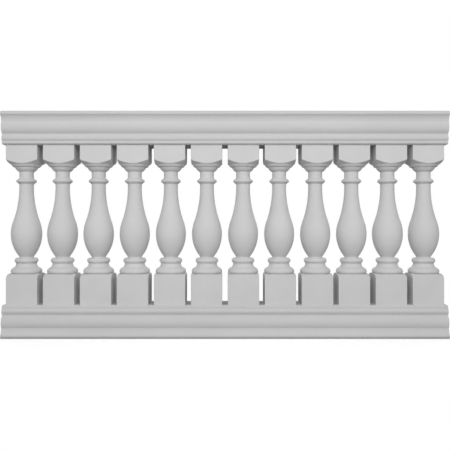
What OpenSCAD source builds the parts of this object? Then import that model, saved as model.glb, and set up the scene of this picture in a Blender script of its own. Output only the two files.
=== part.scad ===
// Balustrade section: a row of turned balusters with square blocks, between two run-moulded rails.
// X runs along the section, Y through it and Z up. The origin is under the middle of the bottom rail.

/* [Spacing] */
// Number of balusters in the section
baluster_count = 12; // [3:1:16]
// Clear gap between two neighbouring blocks
block_gap = 23; // [10:1:60]

/* [Rails] */
// Height of each rail
rail_h = 132; // [126:0.5:170]
// Reach of the plain band beside the balusters, past the face of the blocks
rail_band_reach = 12.5; // [6:0.5:16]
// Reach of the nosing, past the face of the blocks
rail_nosing_reach = 33.5; // [30:0.5:45]
// Height of the rounded edge of the nosing
rail_nosing_h = 10.5; // [6:0.5:14]
// How far the rounded edge of the nosing draws in
rail_nosing_round = 7.5; // [3:0.5:10]
// Radius of the rounded edge of the nosing
rail_nosing_r = 16; // [12:0.5:30]
// Height of the upright edge between the nosing's round and the hollow
rail_edge_h = 2.5; // [1:0.5:4]
// Height of the hollow beside the nosing
rail_hollow_h = 29; // [25:0.5:34]
// Reach of the hollow where it is deepest, past the face of the blocks
rail_hollow_reach = 20; // [17:0.5:24]
// Height of the swell
rail_swell_h = 47; // [42:0.5:52]
// Radius of the swell
rail_swell_r = 39; // [32:0.5:60]
// Height of the plain line between the swell and the small bead
rail_line_h = 7; // [3:0.5:8]
// Height of the small bead
rail_bead_h = 22; // [14:0.5:24]
// Reach of the small bead, past the face of the blocks
rail_bead_reach = 17.5; // [16.5:0.5:22]
// Flat taken off the inner edge of the rail, along each face
rail_ease = 5.5; // [1:0.5:6]

/* [Blocks] */
// Width of the square blocks
block_w = 127; // [110:1:150]
// Flat taken off the upright corners of the blocks, along each face
block_ease = 1; // [0.5:0.5:4]
// Height of the base block
base_block_h = 124.5; // [90:0.5:180]
// Height of the cap block over its ring
cap_block_h = 76.5; // [50:0.5:120]
// How far the underside of the cap block rises from its ring to its corners
cap_splay_rise = 18.5; // [8:0.5:24]

/* [Foot mouldings] */
// Height of the rounded under-edge of the plate
plate_h = 8.5; // [6:0.5:14]
// Radius of the plate
plate_r = 62.8; // [55:0.2:70]
// Height of the ogee over the plate
ogee_h = 31.5; // [24:0.5:44]
// Height of the lower part of the ogee, which bulges
ogee_swell_h = 14; // [10:0.5:20]
// Radius at the top of the ogee
ogee_top_r = 41.4; // [34:0.2:46]
// Height of the thin line over the ogee
quirk_h = 2.5; // [0.5:0.5:4]
// Height of the torus
torus_h = 21; // [16:0.5:32]
// Radius of the torus
torus_r = 47.3; // [44:0.1:56]
// Height of the line between the torus and the vase
foot_line_h = 5.5; // [2:0.5:8]

/* [Vase] */
// Radius of the neck and of the foot of the vase
neck_r = 28.9; // [24:0.1:34]
// Radius of the belly at its widest
belly_r = 62.2; // [50:0.1:70]
// Height of the widest part of the belly over the foot of the vase
belly_rise = 94; // [70:1:110]
// Height of the vase, from its foot to where the sleeve stands upright
vase_h = 286; // [260:1:360]

/* [Neck and cap mouldings] */
// Height of the neck under the collar
low_neck_h = 13.5; // [6:0.5:40]
// Height of the collar, with the splays over and under its bead
collar_h = 26; // [20:0.5:32]
// Height of the collar bead
collar_bead_h = 12; // [8:0.5:16]
// Radius where the splays of the collar meet its bead
collar_splay_r = 36.4; // [35:0.1:37]
// Radius of the collar bead
collar_r = 40.9; // [40:0.1:50]
// Height of the neck over the collar
high_neck_h = 25; // [10:0.5:60]
// Height of the bell under the ring
bell_h = 20.5; // [12:0.5:30]
// Radius of the bell at its top
bell_top_r = 47.4; // [42:0.1:54]
// Radius of the arc of the bell's side
bell_arc_r = 36; // [24:0.5:60]
// Height of the ring under the cap block
ring_h = 9; // [6:0.5:20]
// Radius of the ring at its foot
ring_r = 53.8; // [52:0.1:57]
// How far the top of the ring stays inside the faces of the cap block
ring_setback = 3; // [2:0.5:6]

/* [Hidden] */
$fn = 96;
// How much larger than its half height the radius of a bead is, so that it meets its neighbours at a corner
bead_spare = 0.6;
// How far an arc of the rail runs past the face it meets, so that they meet in one clean line
arris_spare = 0.2;
// How far the turned shoulders reach past the corners of the blocks
corner_spare = 1.7;

pitch = block_w + block_gap;
rail_len = baluster_count * pitch;
block_half = block_w / 2;
corner_r = block_half * sqrt(2) + corner_spare;
shoulder_r = corner_r - block_half;
ring_top_r = block_half - ring_setback;

// Heights in a baluster, from the underside of its base block
plate_z = base_block_h;
ogee_z = plate_z + plate_h;
quirk_z = ogee_z + ogee_h;
torus_z = quirk_z + quirk_h;
foot_line_z = torus_z + torus_h;
vase_z = foot_line_z + foot_line_h;
low_neck_z = vase_z + vase_h;
collar_z = low_neck_z + low_neck_h;
high_neck_z = collar_z + collar_h;
bell_z = high_neck_z + high_neck_h;
ring_z = bell_z + bell_h;
cap_z = ring_z + ring_h;
baluster_h = cap_z + cap_block_h;

// Heights of the section
baluster_z = rail_h;
top_rail_z = baluster_z + baluster_h;
section_h = top_rail_z + rail_h;

baluster_names = [for (i = [1:baluster_count]) str("baluster_", i < 10 ? "0" : "", i)];

// Radius of the arc that stands upright at one end and moves sideways by side over a rise
function arc_r(side, rise) = (side * side + rise * rise) / (2 * side);

// Centre of the arc of radius r that runs from a up to b and bulges outwards
function arc_mid(a, b, r) =
    let (run = b - a, depth = sqrt(r * r / (run * run) - 1 / 4))
    (a + b) / 2 + depth * [-run[1], run[0]];

// Place along the section of the middle of a baluster
function baluster_x(i) = (i - (baluster_count - 1) / 2) * pitch;

// A straight band of a profile, from its axis out
module band(z, h, r) {
    translate([0, z]) square([r, h]);
}

// A half-round bead of a turned profile, with its widest point at half its height
module bead(z, h, r) {
    bead_r = h / 2 + bead_spare;
    intersection() {
        union() {
            translate([r - bead_r, z + h / 2]) circle(bead_r);
            band(z, h, r - bead_r);
        }
        band(z, h, r);
    }
}

// The plate's rounded under-edge and the ogee over it, in one sweep of three arcs
module plate_and_ogee() {
    under_r = plate_h + bead_spare;
    side = plate_r - ogee_top_r;
    both_arcs = arc_r(side, ogee_h);
    swell_share = ogee_swell_h / ogee_h;
    swell_arc = swell_share * both_arcs;
    hollow_arc = both_arcs - swell_arc;
    turn_z = ogee_z + ogee_swell_h;
    intersection() {
        union() {
            translate([plate_r - under_r, ogee_z]) circle(under_r);
            band(plate_z, plate_h, plate_r - under_r);
        }
        band(plate_z, plate_h, plate_r);
    }
    intersection() {
        union() {
            translate([plate_r - swell_arc, ogee_z]) circle(swell_arc);
            band(ogee_z, ogee_swell_h, plate_r - swell_arc);
        }
        band(ogee_z, ogee_swell_h, plate_r);
    }
    difference() {
        band(turn_z, ogee_h - ogee_swell_h, plate_r - swell_share * side);
        translate([ogee_top_r + hollow_arc, quirk_z]) circle(hollow_arc);
    }
}

// The vase: a round belly that springs from the foot, and a hollow sleeve that leaves it smoothly
module vase() {
    belly_z = vase_z + belly_rise;
    belly_arc = arc_r(belly_r - neck_r, belly_rise);
    belly_in = belly_arc - belly_r;
    sleeve_rise = vase_h - belly_rise;
    reach = neck_r + belly_in;
    sleeve_arc = (sleeve_rise * sleeve_rise - belly_arc * belly_arc + reach * reach)
        / (2 * (belly_arc - reach));
    share = belly_arc / (belly_arc + sleeve_arc);
    meet_r = share * (reach + sleeve_arc) - belly_in;
    meet_z = belly_z + share * sleeve_rise;
    intersection() {
        translate([-belly_in, belly_z]) circle(belly_arc);
        band(vase_z, meet_z - vase_z, belly_r);
    }
    difference() {
        band(meet_z, low_neck_z - meet_z, meet_r);
        translate([neck_r + sleeve_arc, low_neck_z]) circle(sleeve_arc);
    }
}

// The collar: a bead with a straight splay over it and under it
module collar() {
    bead_z = collar_z + (collar_h - collar_bead_h) / 2;
    bead(bead_z, collar_bead_h, collar_r);
    polygon([
        [0, collar_z],
        [neck_r, collar_z],
        [collar_splay_r, bead_z],
        [collar_splay_r, bead_z + collar_bead_h],
        [neck_r, high_neck_z],
        [0, high_neck_z]
    ]);
}

// The bell under the ring: a side that swells out as it rises
module bell() {
    bell_mid = arc_mid([neck_r, bell_z], [bell_top_r, ring_z], bell_arc_r);
    intersection() {
        union() {
            translate(bell_mid) circle(bell_arc_r);
            band(bell_z, bell_h, neck_r);
        }
        band(bell_z, bell_h, bell_top_r);
    }
}

// The ring over the bell: a splay that spreads to the cap block
module ring() {
    polygon([[0, ring_z], [ring_r, ring_z], [ring_top_r, cap_z], [0, cap_z]]);
}

// Everything that is turned between the two blocks
module turned_profile() {
    plate_and_ogee();
    band(quirk_z, quirk_h, ogee_top_r);
    bead(torus_z, torus_h, torus_r);
    band(foot_line_z, foot_line_h, neck_r);
    vase();
    band(low_neck_z, low_neck_h, neck_r);
    collar();
    band(high_neck_z, high_neck_h, neck_r);
    bell();
    ring();
}

// A square block with its upright corners eased
module square_block(z, h) {
    translate([0, 0, z])
    linear_extrude(h)
    intersection() {
        square(block_w, center = true);
        rotate(45) square((block_w - block_ease) * sqrt(2), center = true);
    }
}

// The square base block, with its four upper corners turned to a quarter round
module base_block() {
    intersection() {
        square_block(0, base_block_h);
        rotate_extrude() {
            band(0, base_block_h - shoulder_r, corner_r);
            band(0, base_block_h, block_half);
            intersection() {
                translate([block_half, base_block_h - shoulder_r]) circle(shoulder_r);
                band(base_block_h - shoulder_r, shoulder_r, corner_r);
            }
        }
    }
}

// The square cap block, with its underside turned to a splay that rises to the corners
module cap_block() {
    intersection() {
        square_block(cap_z, cap_block_h);
        rotate_extrude()
        polygon([
            [0, cap_z],
            [ring_top_r, cap_z],
            [corner_r, cap_z + cap_splay_rise],
            [corner_r, baluster_h],
            [0, baluster_h]
        ]);
    }
}

// One baluster, cast in one piece
module baluster(i) {
    color("gainsboro")
    translate([baluster_x(i), 0, baluster_z]) {
        base_block();
        rotate_extrude() turned_profile();
        cap_block();
    }
}

// Half of the rail's moulding, from its middle out, with the nosing along the bottom
module half_rail_profile() {
    hollow_z = rail_nosing_h + rail_edge_h;
    swell_z = hollow_z + rail_hollow_h;
    line_z = swell_z + rail_swell_h;
    bead_z = line_z + rail_line_h;
    nosing_x = block_half + rail_nosing_reach;
    hollow_x = block_half + rail_hollow_reach;
    band_x = block_half + rail_band_reach;
    bead_x = block_half + rail_bead_reach;
    hollow_arc = arc_r(rail_nosing_reach - rail_hollow_reach, rail_hollow_h);
    bead_arc = arc_r(rail_bead_reach - rail_band_reach, rail_bead_h / 2);
    nosing_low = [nosing_x - rail_nosing_round, 0];
    nosing_mid = arc_mid(nosing_low, [nosing_x + arris_spare, rail_nosing_h], rail_nosing_r);
    swell_mid = arc_mid([hollow_x + arris_spare, swell_z], [band_x, line_z], rail_swell_r);
    difference() {
        union() {
            band(0, rail_h, band_x);
            intersection() {
                translate(nosing_mid) circle(rail_nosing_r);
                band(0, rail_nosing_h, nosing_x);
            }
            difference() {
                band(rail_nosing_h, swell_z - rail_nosing_h, nosing_x);
                translate([hollow_x + hollow_arc, swell_z]) circle(hollow_arc);
            }
            intersection() {
                translate(swell_mid) circle(rail_swell_r);
                band(hollow_z, bead_z - hollow_z, nosing_x);
            }
            intersection() {
                translate([bead_x - bead_arc, bead_z + rail_bead_h / 2]) circle(bead_arc);
                band(line_z, rail_h - line_z, bead_x);
            }
        }
        inner_flat(band_x);
    }
}

// What the flat along the inner edge of the rail takes off
module inner_flat(x) {
    translate([x, rail_h]) rotate(45) square(rail_ease * sqrt(2), center = true);
}

// The rail's whole moulding, run along the section with plain-cut ends
module rail_run() {
    translate([-rail_len / 2, 0, 0])
    rotate([90, 0, 90])
    linear_extrude(rail_len) {
        half_rail_profile();
        mirror([1, 0]) half_rail_profile();
    }
}

// The bottom rail, with its nosing on the ground
module bottom_rail() {
    color("gainsboro") rail_run();
}

// The top rail: the same moulding turned over, with its nosing uppermost
module top_rail() {
    color("gainsboro") translate([0, 0, section_h]) mirror([0, 0, 1]) rail_run();
}

bottom_rail();
for (i = [0:baluster_count - 1]) baluster(i);
top_rail();
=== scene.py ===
"""Looks of a balustrade section: turned balusters between two run-moulded rails, all in fine cast stone."""

import math

import bpy
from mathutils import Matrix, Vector


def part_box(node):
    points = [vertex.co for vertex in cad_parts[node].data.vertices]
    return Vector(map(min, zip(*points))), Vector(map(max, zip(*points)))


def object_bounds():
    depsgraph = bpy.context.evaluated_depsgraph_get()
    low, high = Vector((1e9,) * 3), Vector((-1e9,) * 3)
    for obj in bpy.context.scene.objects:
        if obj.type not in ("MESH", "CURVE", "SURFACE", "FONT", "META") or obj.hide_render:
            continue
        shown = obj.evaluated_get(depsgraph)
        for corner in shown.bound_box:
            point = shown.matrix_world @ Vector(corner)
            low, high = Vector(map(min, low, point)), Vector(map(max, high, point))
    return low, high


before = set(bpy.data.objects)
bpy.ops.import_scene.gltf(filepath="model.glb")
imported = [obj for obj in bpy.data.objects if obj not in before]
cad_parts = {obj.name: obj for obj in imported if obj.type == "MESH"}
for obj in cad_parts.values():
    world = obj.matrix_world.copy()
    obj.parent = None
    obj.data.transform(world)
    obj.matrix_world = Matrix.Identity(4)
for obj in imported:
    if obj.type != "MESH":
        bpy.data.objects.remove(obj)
cad_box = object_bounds()

# Lengths are in metres and greys are linear, unless the name says otherwise

# Camera: level, square on to the section and very nearly at the middle of its height
PHOTO_PX = 450
FOCAL_PX = 590.0
SENSOR_MM = 36.0
BLOCK_FRONT_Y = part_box("baluster_01")[0].y
CAMERA_TO_BLOCKS = 2.3908
SECTION_H = cad_box[1].z
CAMERA_DROP = 0.0008

# Stone: greys of the rails and the balusters, how far patches and grain stray from them, and the gloss
# The rails' grey is painted darker and the balusters' grey painted lighter than one stone: painted light
# against the shade that falls on the balusters between the rails
RAIL_GREY_PAINTED_DARKER = 0.58
BALUSTER_GREY_PAINTED_LIGHTER = 0.615
TONE_SPREAD = 0.08
TONE_RANGE = (0.35, 0.65)
STONE_SPECULAR = 0.2
ROUGHNESS = (0.95, 0.85)
ROUGHNESS_RANGE = (0.3, 0.7)

# Patches and grain: how many to a metre, and the grain's share of the tone. A rail's patches are drawn out
PATCH_SCALE = 9.0
PATCH_DETAIL = 4.0
GRAIN_SCALE = 850.0
GRAIN_DETAIL = 2.0
GRAIN_SHARE = 0.75
RAIL_STRETCH = (0.3, 1, 1)
BALUSTER_STRETCH = (1, 1, 1)

# Air holes: cells to a metre, the hole's inner and outer edge in a cell, and the share of cells without one
HOLE_SCALE = 140.0
HOLE_EDGES = (0.06, 0.11)
HOLE_FREE = 0.86
# Painted shade in the holes: how strongly their colour is darkened, and the grey it is darkened towards
HOLE_PAINTED_SHADE = 0.5
HOLE_PAINTED_SHADE_GREY = 0.4

# Relief: depth of the holes, and the grain's height as a share of it
RELIEF_DEPTH = 0.0004
RELIEF_STRENGTH = 0.8
GRAIN_RELIEF = 0.8

# Stage: the floor throws light back by its own grey, and shows itself paler
FLOOR_HALF = 12.0
FLOOR_GREY = 0.3
SEEN_GLOW = 0.37
SEEN_GREY = 0.9
WHITE_GLOW = 1.0
# Half axes of the oval in which the floor shows the section's shadow, which fades out at twice that
SHADE_REACH = (1.0, 0.36, 1.0)

# Lights: one long soft strip before the section, and a studio that is brighter
# before and behind the section than beside it
KEY_PLACE = Vector((0, -2.4, 1.4))
KEY_TARGET = Vector((0, 0, 0.45))
KEY_SIZE = (3.6, 0.3)
KEY_WATTS = 43.9
STUDIO_ALL = 0.2
STUDIO_SIDES = 0.25
STUDIO_FRONT = 0.67
STUDIO_BACK = 1.8


class Graph:
    """A short way to add nodes to a material or a world and to join them."""

    def __init__(self, owner):
        owner.use_nodes = True
        self.tree = owner.node_tree

    def add(self, kind, **settings):
        node = self.tree.nodes.new(kind)
        for name, value in settings.items():
            setattr(node, name, value)
        return node

    def join(self, output, target):
        self.tree.links.new(output, target)

    def math(self, operation, first, second):
        node = self.add("ShaderNodeMath", operation=operation)
        for socket, value in zip(node.inputs, (first, second)):
            if isinstance(value, bpy.types.NodeSocket):
                self.join(value, socket)
            else:
                socket.default_value = value
        return node.outputs[0]

    def noise(self, place, scale, detail):
        node = self.add("ShaderNodeTexNoise")
        node.inputs["Scale"].default_value = scale
        node.inputs["Detail"].default_value = detail
        self.join(place, node.inputs["Vector"])
        return node.outputs["Fac"]

    def spread(self, value, source, target):
        node = self.add("ShaderNodeMapRange")
        node.inputs["From Min"].default_value, node.inputs["From Max"].default_value = source
        node.inputs["To Min"].default_value, node.inputs["To Max"].default_value = target
        self.join(value, node.inputs["Value"])
        return node.outputs["Result"]

    def mix(self, share, first, second):
        node = self.add("ShaderNodeMixShader")
        self.join(share, node.inputs["Fac"])
        self.join(first, node.inputs[1])
        self.join(second, node.inputs[2])
        return node.outputs["Shader"]


def grey_colour(grey):
    return (grey, grey, grey, 1)


def seen_directly(graph):
    """1 for rays that show the surroundings to the camera, also in gloss and through glass, else 0."""
    path = graph.add("ShaderNodeLightPath")
    shown = graph.math("MAXIMUM", path.outputs["Is Camera Ray"], path.outputs["Is Glossy Ray"])
    return graph.math("MAXIMUM", shown, path.outputs["Is Transmission Ray"])


def scatter_holes(graph, place):
    """1 in the middle of a few scattered cells, else 0."""
    cells = graph.add("ShaderNodeTexVoronoi")
    cells.inputs["Scale"].default_value = HOLE_SCALE
    graph.join(place, cells.inputs["Vector"])
    near_middle = graph.spread(cells.outputs["Distance"], HOLE_EDGES, (1, 0))
    chance = graph.add("ShaderNodeSeparateColor")
    graph.join(cells.outputs["Color"], chance.inputs["Color"])
    picked = graph.math("GREATER_THAN", chance.outputs["Red"], HOLE_FREE)
    return graph.math("MULTIPLY", near_middle, picked)


def make_stone(name, grey, stretch):
    """Fine cast stone: soft patches, a sandy grain of about 1 mm and a few small air holes, darkened with
    painted shade.
    """
    material = bpy.data.materials.new(name)
    graph = Graph(material)
    place = graph.add("ShaderNodeTexCoord").outputs["Object"]
    drawn = graph.add("ShaderNodeVectorMath", operation="MULTIPLY")
    drawn.inputs[1].default_value = stretch
    graph.join(place, drawn.inputs[0])
    patches = graph.noise(drawn.outputs["Vector"], PATCH_SCALE, PATCH_DETAIL)
    grain = graph.noise(place, GRAIN_SCALE, GRAIN_DETAIL)
    holes = scatter_holes(graph, place)

    patch_tone = graph.math("MULTIPLY", patches, 1 - GRAIN_SHARE)
    grain_tone = graph.math("MULTIPLY", grain, GRAIN_SHARE)
    tone = graph.math("ADD", patch_tone, grain_tone)
    colour = graph.add("ShaderNodeMix", data_type="RGBA")
    colour.inputs["A"].default_value = grey_colour(grey * (1 - TONE_SPREAD))
    colour.inputs["B"].default_value = grey_colour(grey * (1 + TONE_SPREAD))
    graph.join(graph.spread(tone, TONE_RANGE, (0, 1)), colour.inputs["Factor"])
    # Painted shade: the colour is darkened in the air holes
    painted_pit_shade = graph.add("ShaderNodeMix", data_type="RGBA", blend_type="MULTIPLY")
    painted_pit_shade.inputs["B"].default_value = grey_colour(HOLE_PAINTED_SHADE_GREY)
    graph.join(colour.outputs["Result"], painted_pit_shade.inputs["A"])
    graph.join(graph.math("MULTIPLY", holes, HOLE_PAINTED_SHADE), painted_pit_shade.inputs["Factor"])

    bump = graph.add("ShaderNodeBump")
    bump.inputs["Distance"].default_value = RELIEF_DEPTH
    bump.inputs["Strength"].default_value = RELIEF_STRENGTH
    relief = graph.math("SUBTRACT", graph.math("MULTIPLY", grain, GRAIN_RELIEF), holes)
    graph.join(relief, bump.inputs["Height"])

    shader = graph.tree.nodes["Principled BSDF"]
    shader.inputs["Specular IOR Level"].default_value = STONE_SPECULAR
    graph.join(painted_pit_shade.outputs["Result"], shader.inputs["Base Color"])
    graph.join(graph.spread(tone, ROUGHNESS_RANGE, ROUGHNESS), shader.inputs["Roughness"])
    graph.join(bump.outputs["Normal"], shader.inputs["Normal"])
    return material


def make_camera():
    data = bpy.data.cameras.new("camera")
    data.sensor_width = SENSOR_MM
    data.lens = SENSOR_MM * FOCAL_PX / PHOTO_PX
    camera = bpy.data.objects.new("camera", data)
    camera.location = (0, BLOCK_FRONT_Y - CAMERA_TO_BLOCKS, SECTION_H / 2 - CAMERA_DROP)
    camera.rotation_euler = (math.pi / 2, 0, 0)
    bpy.context.collection.objects.link(camera)
    bpy.context.scene.camera = camera


def make_key():
    data = bpy.data.lights.new("key", "AREA")
    data.shape = "RECTANGLE"
    data.size, data.size_y = KEY_SIZE
    data.energy = KEY_WATTS
    key = bpy.data.objects.new("key", data)
    key.location = KEY_PLACE
    key.rotation_euler = (KEY_PLACE - KEY_TARGET).to_track_quat("Z", "Y").to_euler()
    bpy.context.collection.objects.link(key)


def make_world():
    """White where it is seen, and a soft studio for every other ray."""
    world = bpy.data.worlds.new("world")
    graph = Graph(world)
    shown = graph.tree.nodes["Background"]
    shown.inputs["Color"].default_value = grey_colour(1)
    shown.inputs["Strength"].default_value = WHITE_GLOW

    way = graph.add("ShaderNodeSeparateXYZ")
    graph.join(graph.add("ShaderNodeTexCoord").outputs["Generated"], way.inputs["Vector"])
    x = way.outputs["X"]
    y = way.outputs["Y"]
    sides = graph.math("MULTIPLY", graph.math("MULTIPLY", x, x), STUDIO_SIDES)
    behind = graph.math("GREATER_THAN", y, 0.0)
    peak = graph.math("ADD", graph.math("MULTIPLY", behind, STUDIO_BACK - STUDIO_FRONT), STUDIO_FRONT)
    ends = graph.math("MULTIPLY", graph.math("MULTIPLY", y, y), peak)
    level = graph.math("ADD", graph.math("ADD", sides, ends), STUDIO_ALL)
    studio = graph.add("ShaderNodeBackground")
    studio.inputs["Color"].default_value = grey_colour(1)
    graph.join(level, studio.inputs["Strength"])

    surface = graph.mix(seen_directly(graph), studio.outputs["Background"], shown.outputs["Background"])
    graph.join(surface, graph.tree.nodes["World Output"].inputs["Surface"])
    bpy.context.scene.world = world


def make_floor_material():
    """A plain pale floor, white where it is seen, with the section's soft shadow close by it."""
    material = bpy.data.materials.new("floor")
    graph = Graph(material)
    plain = graph.tree.nodes["Principled BSDF"]
    plain.inputs["Base Color"].default_value = grey_colour(FLOOR_GREY)
    plain.inputs["Roughness"].default_value = 1.0

    glow = graph.add("ShaderNodeEmission")
    glow.inputs["Strength"].default_value = SEEN_GLOW
    lit = graph.add("ShaderNodeBsdfDiffuse")
    lit.inputs["Color"].default_value = grey_colour(SEEN_GREY)
    near = graph.add("ShaderNodeAddShader")
    graph.join(glow.outputs["Emission"], near.inputs[0])
    graph.join(lit.outputs["BSDF"], near.inputs[1])
    far = graph.add("ShaderNodeEmission")
    far.inputs["Strength"].default_value = WHITE_GLOW

    apart = graph.add("ShaderNodeVectorMath", operation="DIVIDE")
    apart.inputs[1].default_value = SHADE_REACH
    graph.join(graph.add("ShaderNodeTexCoord").outputs["Object"], apart.inputs[0])
    reach = graph.add("ShaderNodeVectorMath", operation="LENGTH")
    graph.join(apart.outputs["Vector"], reach.inputs[0])
    far_share = graph.spread(reach.outputs["Value"], (1, 2), (0, 1))
    shown = graph.mix(far_share, near.outputs["Shader"], far.outputs["Emission"])

    surface = graph.mix(seen_directly(graph), plain.outputs["BSDF"], shown)
    graph.join(surface, graph.tree.nodes["Material Output"].inputs["Surface"])
    return material


def make_floor():
    mesh = bpy.data.meshes.new("floor")
    corners = [(-FLOOR_HALF, -FLOOR_HALF, 0), (FLOOR_HALF, -FLOOR_HALF, 0)]
    corners += [(FLOOR_HALF, FLOOR_HALF, 0), (-FLOOR_HALF, FLOOR_HALF, 0)]
    mesh.from_pydata(corners, [], [(0, 1, 2, 3)])
    mesh.materials.append(make_floor_material())
    floor = bpy.data.objects.new("floor", mesh)
    bpy.context.collection.objects.link(floor)


def dress_section():
    # Rails get the darker and balusters the lighter copy of one stone, as painted light against the shade
    # between the rails
    rail_stone_painted_darker = make_stone("rail_stone_painted_darker", RAIL_GREY_PAINTED_DARKER, RAIL_STRETCH)
    baluster_stone_painted_lighter = make_stone("baluster_stone_painted_lighter", BALUSTER_GREY_PAINTED_LIGHTER, BALUSTER_STRETCH)
    for name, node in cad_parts.items():
        node.data.materials.clear()
        node.data.materials.append(rail_stone_painted_darker if name.endswith("rail") else baluster_stone_painted_lighter)


make_camera()
make_key()
make_world()
make_floor()
dress_section()
bpy.context.scene.view_settings.view_transform = "Standard"
